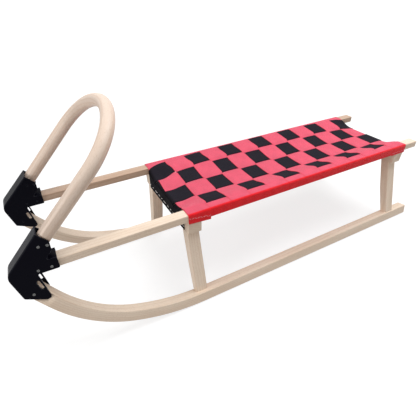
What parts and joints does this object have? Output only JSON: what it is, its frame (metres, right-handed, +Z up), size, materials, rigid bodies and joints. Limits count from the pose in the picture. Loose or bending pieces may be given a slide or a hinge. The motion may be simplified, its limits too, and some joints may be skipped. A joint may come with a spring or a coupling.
{
  "type": "wooden sled",
  "caption": "Wooden sled with upturned runners, splayed legs, a bent wooden bow in folded steel brackets and a checked woven webbing seat.",
  "frame": {"origin": "on the ground, under the middle of the sled's overall box", "axes": "+Z is up, -Y points to the nose where the bow is, +Y to the tail, and +X is the sled's left side"},
  "size_m": [0.3192, 1.04, 0.4456],
  "materials": {
    "frame_wood": "satin",
    "bow_wood": "satin",
    "bracket_black": "satin",
    "black_webbing": "matte",
    "red_webbing": "matte"
  },
  "bodies": {
    "root": {"bow": "bow_wood", "runner_left": "frame_wood", "runner_right": "frame_wood", "rail_left": "frame_wood", "rail_right": "frame_wood", "front_crossbeam": "frame_wood", "rear_crossbeam": "frame_wood", "front_left_leg": "frame_wood", "front_right_leg": "frame_wood", "rear_left_leg": "frame_wood", "rear_right_leg": "frame_wood", "bracket_left": "bracket_black", "bracket_right": "bracket_black", "long_strap_1": "black_webbing", "long_strap_2": "black_webbing", "long_strap_3": "black_webbing", "long_strap_4": "black_webbing", "cross_strap_01": "red_webbing", "cross_strap_02": "red_webbing", "cross_strap_03": "red_webbing", "cross_strap_04": "red_webbing", "cross_strap_05": "red_webbing", "cross_strap_06": "red_webbing", "cross_strap_07": "red_webbing", "cross_strap_08": "red_webbing", "cross_strap_09": "red_webbing", "cross_strap_10": "red_webbing", "cross_strap_11": "red_webbing", "cross_strap_12": "red_webbing", "cross_strap_13": "red_webbing"}
  },
  "joints": []
}
